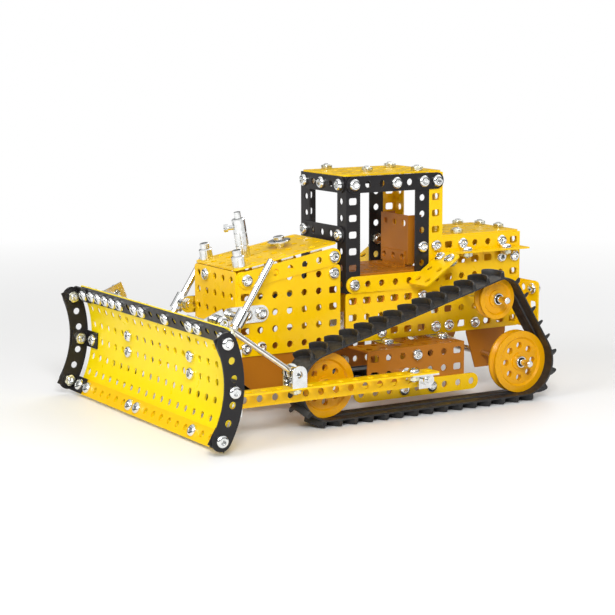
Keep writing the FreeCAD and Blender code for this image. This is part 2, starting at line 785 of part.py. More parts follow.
def axle_set(name, y, z, tip, half_width):
    """A plain rod with a steel bush pressed into each of its wheels."""
    reach = dim(tip)
    rod_radius = dim("rod_diameter") / 2
    rod = Part.makeCylinder(rod_radius, 2 * reach, Vector(-reach, 0, 0), Vector(1, 0, 0))
    rod = rod.makeChamfer(0.5, [edge for edge in rod.Edges if edge.Curve.TypeId == "Part::GeomCircle"])
    pieces = [rod]
    for side in (-1, 1):
        start = side * (dim("wheel_x") - half_width - 1.4)
        direction = Vector(side, 0, 0)
        length = 2 * half_width + 2.2
        bush = Part.makeCylinder(3.55, length, Vector(start, 0, 0), direction)
        bore = Part.makeCylinder(rod_radius + 0.02, length, Vector(start, 0, 0), direction)
        pieces.append(bush.cut(bore))
    spot = FreeCAD.Placement(Vector(0, y, z), FreeCAD.Rotation())
    keep(solid_feature(name, Part.Compound(pieces), spot), name)


def running_gear():
    sets = (
        ("front", "-dims.axle_y", "dims.axle_z", "wheel_radius", "wheel_width", 8),
        ("rear", "dims.axle_y", "dims.axle_z", "wheel_radius", "wheel_width", 8),
        ("upper", "dims.upper_axle_y", "dims.upper_axle_z", "upper_wheel_radius",
         "upper_wheel_width", 0),
    )
    for name, y, z, radius, width, holes in sets:
        body = wheel("%s_wheel" % name, radius, width, holes)
        place(body, SIDE, "dims.wheel_x", y, z)
        pair_group(body, name + "_wheels")
    half, small = dim("wheel_width") / 2, dim("upper_wheel_width") / 2
    axle_set("front_axle", -dim("axle_y"), dim("axle_z"), "front_tip_x", half)
    axle_set("rear_axle", dim("axle_y"), dim("axle_z"), "axle_tip_x", half)
    axle_set("upper_axle", dim("upper_axle_y"), dim("upper_axle_z"), "axle_tip_x", small)


def side_plate(name, outline, holes, bearing):
    """A flat bracket in the side plane: outline and holes are (y, z) points."""
    body = doc.addObject("PartDesign::Body", name)
    sketch = new_sketch(body, "XY_Plane", "outline")
    polygon(sketch, outline)
    for y, z in holes:
        circle(sketch, y, z, dim("hole_diameter"), "dims.hole_diameter")
    bore = dim("rod_diameter") + 2 * dim("running_clearance")
    circle(sketch, bearing[0], bearing[1], bore, "dims.rod_diameter + dims.running_clearance * 2")
    pad(body, sketch, "dims.gauge")
    return body


def axle_brackets():
    """Brown brackets inside the side sheets carry the two lower axles."""
    pitch, margin = dim("pitch"), dim("margin")
    axle_y, axle_z = dim("axle_y"), dim("axle_z")
    hood_y, hood_z = dim("hood_first_y"), dim("hood_first_z")
    low, top = axle_z - 9.0, hood_z + margin
    front = side_plate(
        "front_bracket",
        [(hood_y - 4, top), (hood_y - 4, axle_z), (hood_y + 8, low), (-axle_y + 9, low),
         (-axle_y + 24, axle_z + 8), (-axle_y + 24, top)],
        [(hood_y + pitch * index, hood_z) for index in range(6)],
        (-axle_y, axle_z),
    )
    body_z = dim("body_first_z")
    rear_y = dim("body_first_y") + 9 * pitch
    rear = side_plate(
        "rear_bracket",
        [(rear_y - 5, body_z + margin), (rear_y - 5, body_z - 7), (axle_y - 6, low),
         (axle_y + 8, low), (rear_y + 25, body_z - 8), (rear_y + 25, body_z + margin)],
        [(rear_y + pitch * index, body_z) for index in range(3)],
        (axle_y, axle_z),
    )
    pieces = []
    for piece in (front, rear):
        place(piece, SIDE, "dims.half_width - dims.gauge", 0, 0)
        pieces += [piece, mirrored(piece, piece.Name + "_twin")]
    group("axle_brackets", pieces)


def frame_brackets():
    """Angles inside the side sheets, on which the track frames hang."""
    gauge, margin = dim("gauge"), dim("margin")
    frame_top = dim("frame_first_z") - margin + 3 * dim("pitch")
    rise = dim("body_first_z") - frame_top
    inner = dim("half_width") - gauge
    section = [
        (0, 0), (17.0, 0), (17.0, gauge), (gauge, gauge),
        (gauge, rise + margin), (0, rise + margin),
    ]
    pieces = []
    for column in HANGER_COLUMNS:
        piece = bent("frame_bracket_%d" % column, section, "dims.margin * 2")
        round_holes(piece, "YZ_Plane", rise, margin)
        round_holes(piece, "XZ_Plane", hanger_bolt_x() - inner, margin)
        place(
            piece, ALONG_Y, "dims.half_width - dims.gauge",
            "dims.body_first_y + dims.pitch * %d + dims.margin" % column, frame_top,
        )
        pieces += [piece, mirrored(piece, piece.Name + "_twin")]
    group("frame_brackets", pieces)


# ---------------------------------------------------------------- push frame
# holes of the arm, counted from the blade, that carry the bracket and the lug
TAB_HOLE = 4
LUG_HOLE = 12


def arm_top():
    return dim("arm_z") + dim("margin") + dim("gauge") / 2


def push_arms():
    gauge, pitch, margin = dim("gauge"), dim("pitch"), dim("margin")
    section = [
        (-gauge, -pitch), (0, -pitch), (0, -gauge), (pitch, -gauge), (pitch, 0), (-gauge, 0),
    ]
    arm = bent("push_arm", section, "dims.arm_rear_y - dims.arm_first_y + dims.margin")
    notch = new_sketch(arm, "YZ_Plane", "notch")
    shortened = 8.5
    polygon(notch, [(-pitch - 1, -1), (-gauge, -1), (-gauge, shortened), (-pitch - 1, shortened)])
    cut_through(arm, notch)
    last = dim("arm_rear_y") - (dim("arm_first_y") + 12 * pitch)
    round_holes(arm, "YZ_Plane", dim("arm_z") - arm_top(), last, 1, 13)
    round_holes(arm, "XZ_Plane", margin, last - pitch, 1, 14)
    place(arm, ALONG_Y, "dims.arm_x", "dims.arm_rear_y", arm_top())
    pair(arm, "push_arm")


def blade_turn(arc):
    """Angle round the blade's own axis at an arc length up from its middle."""
    return dim("blade_tilt") + math.degrees(arc / dim("blade_radius"))


def blade_point(x, radius, arc):
    angle = math.radians(blade_turn(arc))
    y = dim("blade_centre_y") + radius * math.cos(angle)
    z = dim("blade_centre_z") + radius * math.sin(angle)
    return Vector(x, y, z)


def blade_rotation(arc, upright):
    return FreeCAD.Rotation(Vector(1, 0, 0), blade_turn(arc)).multiply(upright)


def ring_point(radius, angle):
    return Vector(radius * math.cos(angle), radius * math.sin(angle), 0)


def add_arc(sketch, centre, radius, begin, end):
    ring = Part.Circle(centre, Vector(0, 0, 1), radius)
    return sketch.addGeometry(Part.ArcOfCircle(ring, begin, end))


def blade_plate(name, columns):
    """A sheet rolled to the blade's radius, its lowest hole row at angle 0."""
    body = doc.addObject("PartDesign::Body", name)
    inner = dim("blade_radius")
    outer = inner + dim("gauge")
    low = -dim("margin") / inner
    high = (6 * dim("pitch") + dim("margin")) / inner
    outline = new_sketch(body, "XY_Plane", "section")
    add_arc(outline, Vector(0, 0, 0), inner, low, high)
    add_arc(outline, Vector(0, 0, 0), outer, low, high)
    for angle in (low, high):
        outline.addGeometry(Part.LineSegment(ring_point(inner, angle), ring_point(outer, angle)))
    constraint = Sketcher.Constraint
    for arc, line, end, point in ((0, 2, 1, 1), (1, 2, 1, 2), (0, 3, 2, 1), (1, 3, 2, 2)):
        outline.addConstraint(constraint("Coincident", arc, end, line, point))
    for arc, expression in ((0, "dims.blade_radius"), (1, "dims.blade_radius + dims.gauge")):
        outline.addConstraint(constraint("Coincident", arc, 3, -1, 1))
        bind(outline, constraint("Radius", arc, inner if arc == 0 else outer), expression)
    pad(body, outline, "dims.pitch * %d" % columns)
    hole = new_sketch(body, "YZ_Plane", "hole")
    circle(hole, 0, dim("margin"), dim("hole_diameter"), "dims.hole_diameter")
    cut = cut_through(body, hole)
    doc.recompute()
    rows = body.newObject("PartDesign::MultiTransform", "holes")
    around = doc.addObject("PartDesign::PolarPattern", name + "_around")
    around.Axis = (outline, ["N_Axis"])
    around.setExpression("Angle", "6 * dims.pitch / dims.blade_radius * 180 / pi")
    around.Occurrences = int(dim("blade_rows"))
    across = doc.addObject("PartDesign::LinearPattern", name + "_across")
    across.Direction = (outline, ["N_Axis"])
    across.setExpression("Length", "dims.pitch * %d" % (columns - 1))
    across.Occurrences = columns
    body.addObject(around)
    body.addObject(across)
    rows.Originals = [cut]
    rows.Transformations = [around, across]
    body.Tip = rows
    return body


def blade_end():
    """The sickle-shaped end strip, concave to the front."""
    body = doc.addObject("PartDesign::Body", "blade_end")
    middle, half = dim("end_hole_radius"), dim("end_width") / 2
    reach = 3 * dim("pitch") / dim("blade_radius")
    outline = new_sketch(body, "XY_Plane", "outline")
    origin = Vector(0, 0, 0)
    add_arc(outline, origin, middle + half, -reach, reach)
    add_arc(outline, ring_point(middle, reach), half, reach, reach + math.pi)
    add_arc(outline, origin, middle - half, -reach, reach)
    add_arc(outline, ring_point(middle, -reach), half, -reach - math.pi, -reach)
    constraint = Sketcher.Constraint
    for first, end, second, start in ((0, 2, 1, 1), (1, 2, 2, 2), (2, 1, 3, 1), (3, 2, 0, 1)):
        outline.addConstraint(constraint("Tangent", first, end, second, start))
    bind(outline, constraint("Radius", 0, middle + half), "dims.end_hole_radius + dims.end_width / 2")
    bind(outline, constraint("Radius", 2, middle - half), "dims.end_hole_radius - dims.end_width / 2")
    pitch = dim("pitch") / middle
    for angle in (0, reach, reach - pitch, reach - 2 * pitch):
        for side in ((1,) if angle == 0 else (-1, 1)):
            spot = ring_point(middle, side * angle)
            circle(outline, spot.x, spot.y, dim("hole_diameter"), "dims.hole_diameter")
    pad(body, outline, "dims.gauge")
    return body


def blade():
    gauge, pitch, margin = dim("gauge"), dim("pitch"), dim("margin")
    radius = dim("blade_radius")
    low_row = -3 * pitch
    centre = ("dims.blade_centre_y", "dims.blade_centre_z")
    for name, columns, start in (("blade_plate_right", 10, -9.5), ("blade_plate_left", 9, 0.5)):
        sheet_piece = blade_plate(name, columns)
        place(sheet_piece, blade_rotation(low_row, SIDE), "dims.pitch * %g" % start, *centre)
        keep(sheet_piece, name)

    end = blade_end()
    place(end, blade_rotation(0, SIDE), "dims.blade_half_width", *centre)
    pair_group(end, "blade_ends")

    seat = radius - 0.2
    for name, arc in (("blade_top_strip", 3 * pitch), ("blade_bottom_strip", low_row)):
        long_strip = strip(name, 19)
        spot = blade_point(-9 * pitch, seat, arc)
        place(long_strip, blade_rotation(arc, FRONT), spot.x, spot.y, spot.z)
        keep(long_strip, name)

    brackets = []
    for arc, back in ((3 * pitch, seat - gauge), (0, seat), (low_row, seat - gauge)):
        section = [
            (0, 0), (0, -gauge), (14.0, -gauge), (14.0, -11.0), (15.0, -11.0), (15.0, 0),
        ]
        piece = bent("corner_bracket_%d" % len(brackets), section, "dims.margin * 2")
        round_holes(piece, "XZ_Plane", margin, margin)
        round_holes(piece, "YZ_Plane", dim("end_hole_radius") - back, margin)
        spot = blade_point(dim("blade_half_width") - 15.0, back, arc)
        turn = blade_rotation(arc, LYING)
        spot -= turn.multVec(Vector(0, 0, margin))
        place(piece, turn, spot.x, spot.y, spot.z)
        brackets += [piece, mirrored(piece, piece.Name + "_twin")]
    group("blade_corner_brackets", brackets)


def ram_axis():
    angle = math.radians(dim("ram_angle"))
    return Vector(0, math.cos(angle), math.sin(angle))


def trunnion():
    """Where the ram's sleeve swings: the front hole of its three-hole strip."""
    y = dim("hood_first_y") - dim("pitch")
    return Vector(dim("ram_x"), y, dim("hood_first_z") + 2 * dim("pitch"))


def ram_pivot():
    return trunnion() - ram_axis() * dim("ram_below")


def blade_brackets():
    """Channels behind the blade take the arms and the rams' lower ends."""
    gauge, pitch, margin = dim("gauge"), dim("pitch"), dim("margin")
    ear_x, low, deep = dim("ear_x"), dim("bracket_low"), dim("bracket_deep")
    wide = dim("arm_x") - gauge - ear_x
    back = dim("blade_centre_y") + dim("blade_radius") + gauge + 0.02
    section = [
        (0, 0), (wide, 0), (wide, deep), (wide - gauge, deep), (wide - gauge, gauge),
        (gauge, gauge), (gauge, deep), (0, deep),
    ]
    body = doc.addObject("PartDesign::Body", "blade_bracket")
    outline = new_sketch(body, "XY_Plane", "section")
    polygon(outline, section)
    pad(body, outline, "dims.bracket_tall")
    for row in (0, 1):
        height = blade_point(0, dim("blade_radius") + gauge, row * pitch).z - low
        slots(body, "XZ_Plane", 4 * pitch - ear_x, height, 1, 1, upright=True)
    pivot = ram_pivot()
    ear = new_sketch(body, "YZ_Plane", "pins")
    circle(ear, pivot.y - back, pivot.z - low, dim("hole_diameter"), "dims.hole_diameter")
    arm_hole = (dim("arm_first_y") - back, dim("arm_z") - low)
    circle(ear, arm_hole[0], arm_hole[1], dim("hole_diameter"), "dims.hole_diameter")
    cut_through(body, ear)
    place(body, LYING, ear_x, back, low)

    # the upper brackets, behind the top edge, take the braces
    arc = 3 * pitch
    face = dim("blade_radius") + gauge
    upper_section = [
        (0, 0), (20.0, 0), (20.0, 13.0), (19.0, 13.0), (19.0, gauge), (0, gauge),
    ]
    upper = bent("brace_bracket", upper_section, "dims.margin * 2")
    round_holes(upper, "XZ_Plane", margin, margin, 2, 1)
    round_holes(upper, "YZ_Plane", 8.0, margin)
    turn = blade_rotation(arc, LYING)
    spot = blade_point(4.5 * pitch, face, arc) - turn.multVec(Vector(0, 0, margin))
    place(upper, turn, spot.x, spot.y, spot.z)
    group("blade_brackets", [
        body, mirrored(body, "blade_bracket_twin"), upper, mirrored(upper, "brace_bracket_twin"),
    ])
    return blade_point(0, face + 8.0, arc)


def round_ears(body, height, width):
    """Rounds the two upper corners of ears that stand height above the base."""
    radius = width / 2 - 0.1
    sketch = new_sketch(body, "YZ_Plane", "corners")
    beyond = height + 1
    for side, begin in ((-1, -math.pi / 2), (1, 0.0)):
        middle = width / 2 + side * 0.1
        edge = width / 2 + side * width / 2
        add_arc(sketch, Vector(height - radius, middle, 0), radius, begin, begin + math.pi / 2)
        tip = Vector(height, middle, 0)
        foot = Vector(height - radius, middle + side * radius, 0)
        corners = [tip, Vector(beyond, middle, 0), Vector(beyond, edge + side, 0),
                   Vector(foot.x, edge + side, 0), foot]
        for start, end in zip(corners, corners[1:]):
            sketch.addGeometry(Part.LineSegment(start, end))
    cut_through(body, sketch)


def arm_tabs():
    """A double-eared bracket on each arm, and the lug under its rear end."""
    gauge, pitch, margin = dim("gauge"), dim("pitch"), dim("margin")
    height = dim("tab_height")
    width = 2 * margin - 0.6
    across = dim("arm_x") + pitch - dim("tab_x")
    section = [
        (0, 0), (across, 0), (across, height), (across - gauge, height),
        (across - gauge, gauge), (gauge, gauge), (gauge, height), (0, height),
    ]
    tab = bent("arm_tab", section, "dims.margin * 2 - 0.6")
    round_holes(tab, "XZ_Plane", dim("arm_x") + margin - dim("tab_x"), width / 2)
    round_holes(tab, "YZ_Plane", dim("tab_hole"), width / 2)
    round_ears(tab, height, width)
    front = dim("arm_first_y") + TAB_HOLE * pitch
    place(tab, ALONG_Y, "dims.tab_x", front + width / 2, arm_top())
    pieces = [tab, mirrored(tab, "arm_tab_twin")]

    reach = dim("arm_x") + pitch - dim("lug_x")
    lug_section = [
        (0, 0), (0, -pitch), (gauge, -pitch), (gauge, -gauge), (reach, -gauge), (reach, 0),
    ]
    lug = bent("pivot_lug", lug_section, "dims.pitch * 1.85")
    y = dim("arm_rear_y")
    bore = new_sketch(lug, "YZ_Plane", "bore")
    size = dim("rod_diameter") + 2 * dim("running_clearance")
    height = dim("arm_z") - (arm_top() - gauge)
    pivot = y - dim("pivot_y")
    circle(bore, height, pivot, size, "dims.rod_diameter + dims.running_clearance * 2")
    cut_through(lug, bore)
    notch = new_sketch(lug, "YZ_Plane", "notch")
    ear_end = pivot + margin - 0.1
    polygon(notch, [(-pitch - 1, ear_end), (-gauge, ear_end), (-gauge, 20), (-pitch - 1, 20)])
    cut_through(lug, notch)
    bolt_y = dim("arm_first_y") + LUG_HOLE * pitch
    round_holes(lug, "XZ_Plane", dim("arm_x") + margin - dim("lug_x"), y - bolt_y)
    place(lug, ALONG_Y, "dims.lug_x", y, arm_top() - gauge)
    pieces += [lug, mirrored(lug, "pivot_lug_twin")]
    group("arm_brackets", pieces)


def rod_between(start, end, radius):
    return Part.makeCylinder(radius, (end - start).Length, start, end - start)


def braces(upper_hole):
    """Rods from the blade's upper brackets down to the arms' tabs."""
    half = 1.8
    top = Vector(dim("brace_bracket_x") + 0.3 + half, upper_hole.y, upper_hole.z)
    low_x = dim("tab_x") + dim("gauge") + 1.1 + half
    low_y = dim("arm_first_y") + TAB_HOLE * dim("pitch")
    low = Vector(low_x, low_y, arm_top() + dim("tab_hole"))
    rod = rod_between(top, low, 1.6)
    for end in (top, low):
        eye = Part.makeCylinder(3.6, 2 * half, end - Vector(half, 0, 0), Vector(1, 0, 0))
        rod = rod.fuse(eye)
    for end in (top, low):
        start = end - Vector(3, 0, 0)
        rod = rod.cut(Part.makeCylinder(dim("hole_diameter") / 2, 6, start, Vector(1, 0, 0)))
    left = solid_feature("brace_rod", rod.removeSplitter())
    pair_group(left, "brace_rods")
    return top, low


def pivot_shafts():
    """Short shafts through the track frames carry the push arms."""
    y, z = dim("pivot_y"), dim("arm_z")
    inner, outer = dim("frame_x") - 4.5, dim("lug_x") + 6.0
    radius = dim("rod_diameter") / 2
    shaft = Part.makeCylinder(radius, outer - inner, Vector(inner, y, z), Vector(1, 0, 0))
    ear = dim("lug_x")
    for x, length in (
        (dim("frame_x") + 0.05, 4.0), (ear - 3.4, 3.3), (ear + dim("gauge") + 0.1, 3.3),
        (dim("frame_x") - 4.0, 2.9),
    ):
        ring = Part.makeCylinder(3.5, length, Vector(x, y, z), Vector(1, 0, 0))
        shaft = shaft.fuse(ring)
    left = solid_feature("pivot_shaft", shaft.removeSplitter())
    pair_group(left, "pivot_shafts")


def rams():
    """The lift rams: a rod that slides in a sleeve swinging on the hood."""
    axis, swing, pivot = ram_axis(), trunnion(), ram_pivot()
    x = dim("ram_x")
    radius = dim("rod_diameter") / 2
    across = Vector(1, 0, 0)
    rod = rod_between(pivot, swing + axis * dim("ram_above"), radius)
    eye_start = pivot - across * 1.8
    rod = rod.fuse(Part.makeCylinder(dim("eye_diameter") / 2, 3.6, eye_start, across))
    rod = rod.cut(Part.makeCylinder(dim("eye_bore") / 2, 8, pivot - across * 4, across))
    rod = solid_feature("ram_rod", rod.removeSplitter())
    pair(rod, "ram_rod")

    half = dim("sleeve_length") / 2
    sleeve = rod_between(swing - axis * half, swing + axis * half, dim("sleeve_diameter") / 2)
    face = dim("half_width") + 2 * dim("gauge") + 0.05
    boss = Part.makeCylinder(3.0, x - face, Vector(face, swing.y, swing.z), across)
    pin_start = face - dim("gauge") - 3.2
    pin = Part.makeCylinder(
        dim("thread_diameter") / 2, x - pin_start, Vector(pin_start, swing.y, swing.z), across
    )
    sleeve = sleeve.fuse(boss).fuse(pin)
    bore = radius + dim("running_clearance")
    sleeve = sleeve.cut(rod_between(swing - axis * 20, swing + axis * 20, bore))
    nut = hex_nut()
    nut.Placement = FreeCAD.Placement(
        Vector(face - dim("gauge") - 0.1, swing.y, swing.z),
        FreeCAD.Rotation(Vector(0, 0, 1), across),
    )
    sleeve = solid_feature("ram_sleeve", Part.Compound([sleeve.removeSplitter(), nut]))
    pair(sleeve, "ram_sleeve")

    holder = strip("ram_strip", 3)
    place(
        holder, SIDE, "dims.half_width + dims.gauge", "dims.hood_first_y - dims.pitch",
        "dims.hood_first_z + dims.pitch * 2",
    )
    pair_group(holder, "ram_strips")
    return pivot


# ----------------------------------------------------------------- fasteners
def hex_bar(width, low, height):
    """A hexagonal bar along Z, from the given low end."""
    corner = width / math.sqrt(3)
    angles = [math.pi / 3 * side for side in range(7)]
    corners = [Vector(corner * math.cos(a), corner * math.sin(a), low) for a in angles]
    return Part.Face(Part.makePolygon(corners)).extrude(Vector(0, 0, height))


def hex_nut():
    """A nut that fills -Z from the origin, bored through."""
    height = dim("nut_height")
    bore = Part.makeCylinder(dim("nut_bore") / 2, height, Vector(0, 0, -height))
    return hex_bar(dim("nut_width"), -height, height).cut(bore)


def bolt(grip):
    """A round-headed socket bolt: head above the XY plane, shank below it."""
    height = dim("head_height")
    head = Part.makeCylinder(dim("head_diameter") / 2, height)
    rim = [edge for edge in head.Edges if edge.BoundBox.ZMin > height - 0.01]
    head = head.makeFillet(height * 0.45, rim)
    length = grip + dim("nut_height") + 0.8
    shank = Part.makeCylinder(dim("thread_diameter") / 2, length, Vector(0, 0, -length))
    depth = dim("socket_depth")
    socket = hex_bar(dim("socket_width"), height - depth, depth)
    return head.fuse(shank).cut(socket)


def fastener(point, outward, grip):
    """A bolt whose head sits on point, and its nut behind the stack."""
    turn = FreeCAD.Rotation(Vector(0, 0, 1), outward)
    screw = bolt(grip)
    screw.Placement = FreeCAD.Placement(point, turn)
    nut = hex_nut()
    nut.Placement = FreeCAD.Placement(point - outward * grip, turn)
    return [screw, nut]


def both_sides(spots):
    """The given (point, outward, grip) on the left, and their right twins."""
    result = []
    for point, outward, grip in spots:
        result.append((point, outward, grip))
        twin = Vector(-point.x, point.y, point.z)
        result.append((twin, Vector(-outward.x, outward.y, outward.z), grip))
    return result


def fasteners(name, spots):
    solids = []
    for point, outward, grip in spots:
        solids += fastener(point, outward, grip)
    keep(solid_feature(name, Part.Compound(solids)), name)


def frame_fasteners(tilt, fender_first, fender_turn):
    gauge, pitch, margin = dim("gauge"), dim("pitch"), dim("margin")
    plain = dim("half_width") + gauge
    proud = plain + gauge
    left, forward, up = Vector(1, 0, 0), Vector(0, -1, 0), Vector(0, 0, 1)
    hood_y, hood_z = dim("hood_first_y"), dim("hood_first_z")
    body_y, body_z = dim("body_first_y"), dim("body_first_z")

    def hood_spot(x, column, row):
        return Vector(x, hood_y + column * pitch, hood_z + row * pitch)

    def body_spot(x, column, row):
        return Vector(x, body_y + column * pitch, body_z + row * pitch)

    slope = tilt.multVec(Vector(0, 6 * pitch, 0))
    lost = (6 * pitch - slope.y) / 2
    sides = [
        (hood_spot(plain, 0, 0), left, 2 * gauge),
        (hood_spot(plain, 1, 0), left, 2 * gauge),
        (hood_spot(plain, 6, 4), left, gauge),
        (hood_spot(proud, 0, 4) + Vector(0, lost, 0), left, 2 * gauge),
        (hood_spot(proud, 0, 4) + Vector(0, lost, 0) + slope, left, gauge),
        (hood_spot(proud, 0, 2), left, 2 * gauge),
        (hood_spot(proud, 1, 2), left, 2 * gauge),
        (body_spot(plain, 7, 0), left, gauge),
        (body_spot(plain, 5, 2), left, 2 * gauge),
        (body_spot(proud, 0, 3), left, 3 * gauge),
        (body_spot(plain, 5, 5), left, gauge),
        (body_spot(plain, 6, 5), left, gauge),
        (body_spot(proud, 3, 9), left, gauge),
        (body_spot(plain, 9, 0), left, 2 * gauge),
        (body_spot(plain, 8, 5), left, gauge),
        (body_spot(plain, 11, 5), left, gauge),
        (body_spot(plain, 11, 4), left, gauge),
        (body_spot(plain, 12, 4), left, gauge),
        (body_spot(plain, 12, 2), left, gauge),
    ]
    sides += [(body_spot(proud, column, 9), left, 2 * gauge) for column in (0, 5, 6)]
    sides += [(body_spot(plain, column, 0), left, 2 * gauge) for column in HANGER_COLUMNS]
    hanger_top = dim("frame_first_z") - margin + 3 * pitch + gauge
    for column in HANGER_COLUMNS:
        spot = Vector(hanger_bolt_x(), body_y + column * pitch, hanger_top)
        sides.append((spot, up, 2 * gauge))

    # cab front strips
    front = body_y - margin - gauge
    for x, level, grip in ((20, 9, 2 * gauge), (20, 6, 2 * gauge)):
        sides.append((Vector(x, front, body_z + level * pitch), forward, grip))

    # track frame and its strip
    frame_y, frame_z = dim("frame_first_y"), dim("frame_first_z")
    frame_x = dim("frame_x")
    sides.append((Vector(frame_x, frame_y + 3 * pitch, frame_z + 2 * pitch), left, gauge))
    for column in (2, 4):
        sides.append((Vector(frame_x + gauge, frame_y + column * pitch, frame_z), left, 2 * gauge))

    # cross plate, fenders, ledges
    cross_face = body_y + 12 * pitch + margin
    sides.append((Vector(4 * pitch, cross_face, body_z + 2 * pitch), forward, gauge))
    normal = fender_turn.multVec(up)
    for column in (0, 1):
        spot = fender_first + fender_turn.multVec(Vector(column * pitch, 2 * pitch, gauge))
        sides.append((spot, normal, gauge))
    ledge_z = body_z + 4 * pitch + margin + gauge
    for column in (8, 11):
        ledge = Vector(plain + margin, body_y + column * pitch, ledge_z)
        sides.append((ledge, up, gauge))

    single = [
        (Vector(0, front, body_z + 9 * pitch), forward, gauge),
        (Vector(-pitch, hood_y - margin - gauge, hood_z + 4 * pitch), forward, gauge),
    ]
    # roof and tank top: bolts from below, nuts on top
    roof_z = body_z + 9 * pitch + margin
    tank_z = body_z + 5 * pitch + margin
    for x, column in ((-2, 1), (1, 2), (-1, 5), (2, 5)):
        single.append((Vector(x * pitch, body_y + column * pitch, roof_z), up * -1, gauge))
    for x, column in ((-2, 11), (1, 12), (-1, 12), (2, 8)):
        single.append((Vector(x * pitch, body_y + column * pitch, tank_z), up * -1, gauge))
    fasteners("frame_fasteners", both_sides(sides) + single)


def blade_fasteners(brace_ends, pivot):
    gauge, pitch = dim("gauge"), dim("pitch")
    radius = dim("blade_radius")
    left, up = Vector(1, 0, 0), Vector(0, 0, 1)

    def facing(arc):
        angle = math.radians(blade_turn(arc))
        return Vector(0, -math.cos(angle), -math.sin(angle))

    top, low = 3 * pitch, -3 * pitch
    spots = []
    strip_face = radius - 0.2 - gauge
    strip_grip = 2 * gauge + 0.2
    for column in (-8, -7, -4, -2, -1, 2):
        spots.append((blade_point(column * pitch, strip_face, top), facing(top), strip_grip))
    for column in (-6, -5, 5, 6):
        spots.append((blade_point(column * pitch, strip_face, top), facing(top), strip_grip + gauge))
    for column in (-8, -2, -1, 6):
        spots.append((blade_point(column * pitch, strip_face, low), facing(low), strip_grip))
    pairs = []
    for arc in (top, low):
        face = strip_face - gauge
        pairs.append((blade_point(9 * pitch, face, arc), facing(arc), strip_grip + gauge))
    pairs.append((blade_point(9 * pitch, strip_face, 0), facing(0), strip_grip))
    for arc in (top, 0, low):
        end = blade_point(dim("blade_half_width") + gauge, dim("end_hole_radius"), arc)
        pairs.append((end, left, 2 * gauge))
    for arc in (0, pitch):
        spot = blade_point(4 * pitch, radius - 0.12, arc)
        back = dim("blade_centre_y") + radius + 2 * gauge + 0.02
        grip = (back - spot.y) / abs(facing(arc).y) + 0.32
        pairs.append((spot, facing(arc), grip))

    # arms to the blade channels, tabs and lugs, brace and ram pins
    arm_x, arm_y, arm_z = dim("arm_x"), dim("arm_first_y"), dim("arm_z")
    pairs.append((Vector(arm_x, arm_y, arm_z), left, 2 * gauge))
    hole_x = arm_x + dim("margin")
    pairs.append((Vector(hole_x, arm_y + TAB_HOLE * pitch, arm_top() + gauge), up, 2 * gauge))
    pairs.append((Vector(hole_x, arm_y + LUG_HOLE * pitch, arm_top()), up, 2 * gauge))
    faces = (dim("brace_bracket_x") - gauge, dim("tab_x"))
    for end, sheet_face in zip(brace_ends, faces):
        face = end.x + 2.7
        pairs.append((Vector(face, end.y, end.z), left, face - sheet_face))
    ear = dim("ear_x")
    pin_face = dim("ram_x") + 2.3
    pairs.append((Vector(pin_face, pivot.y, pivot.z), left, pin_face - ear))
    fasteners("blade_fasteners", spots + both_sides(pairs))


# --------------------------------------------------------------------- build
hood_frame = hood()
lower_body()
cab()
fender_first, fender_turn = fenders()
hood_details(*hood_frame)
track_frames()
belts()
running_gear()
axle_brackets()
frame_brackets()
push_arms()
blade()
upper_hole = blade_brackets()
arm_tabs()
brace_ends = braces(upper_hole)
pivot_shafts()
pivot = rams()
frame_fasteners(hood_frame[0], fender_first, fender_turn)
blade_fasteners(brace_ends, pivot)
doc.recompute()

for item in doc.Objects:
    if "Invalid" in item.State or "Error" in item.State:
        raise RuntimeError("%s (%s) failed: %s" % (item.Label, item.Name, item.State))
os.makedirs("parts", exist_ok=True)
for piece in exported:
    if piece.Shape.isNull() or not piece.Shape.isValid():
        raise RuntimeError("%s has no valid shape" % piece.Label)
    written = piece.Shape.copy()
    written.translate(Vector(0, -dim("middle_y"), -dim("ground_z")))
    written.exportStep("parts/%s.step" % piece.Label)
print("%d nodes" % len(exported))
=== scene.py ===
"""Looks of the toy bulldozer: paint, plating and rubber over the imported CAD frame.

Everything is in metres in the frame of the CAD part: +X is the vehicle's left,
the blade faces -Y and the belts stand on Z = 0.  MM turns millimetres into metres.
"""

import json
import math

import bmesh
import bpy
import numpy as np
from mathutils import Matrix, Quaternion, Vector


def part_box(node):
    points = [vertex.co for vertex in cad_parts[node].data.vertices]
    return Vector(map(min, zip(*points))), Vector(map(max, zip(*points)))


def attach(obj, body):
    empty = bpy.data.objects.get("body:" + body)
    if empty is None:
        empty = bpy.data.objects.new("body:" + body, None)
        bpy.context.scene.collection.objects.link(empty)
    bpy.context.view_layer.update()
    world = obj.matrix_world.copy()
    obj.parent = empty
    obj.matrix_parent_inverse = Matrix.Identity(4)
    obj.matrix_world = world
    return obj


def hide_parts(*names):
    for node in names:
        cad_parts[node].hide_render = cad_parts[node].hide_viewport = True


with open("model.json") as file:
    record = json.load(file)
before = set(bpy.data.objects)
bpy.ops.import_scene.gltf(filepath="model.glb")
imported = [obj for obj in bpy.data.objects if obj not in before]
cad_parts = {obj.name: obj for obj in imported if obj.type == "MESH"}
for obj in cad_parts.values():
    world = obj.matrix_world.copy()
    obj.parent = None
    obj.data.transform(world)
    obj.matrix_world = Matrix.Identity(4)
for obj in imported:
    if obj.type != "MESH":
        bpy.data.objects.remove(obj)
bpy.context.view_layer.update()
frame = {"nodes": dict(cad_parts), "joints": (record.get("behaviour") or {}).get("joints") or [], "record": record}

MM = 0.001
NODES = frame["nodes"]
JOINTS = {joint["name"]: joint for joint in frame["joints"]}


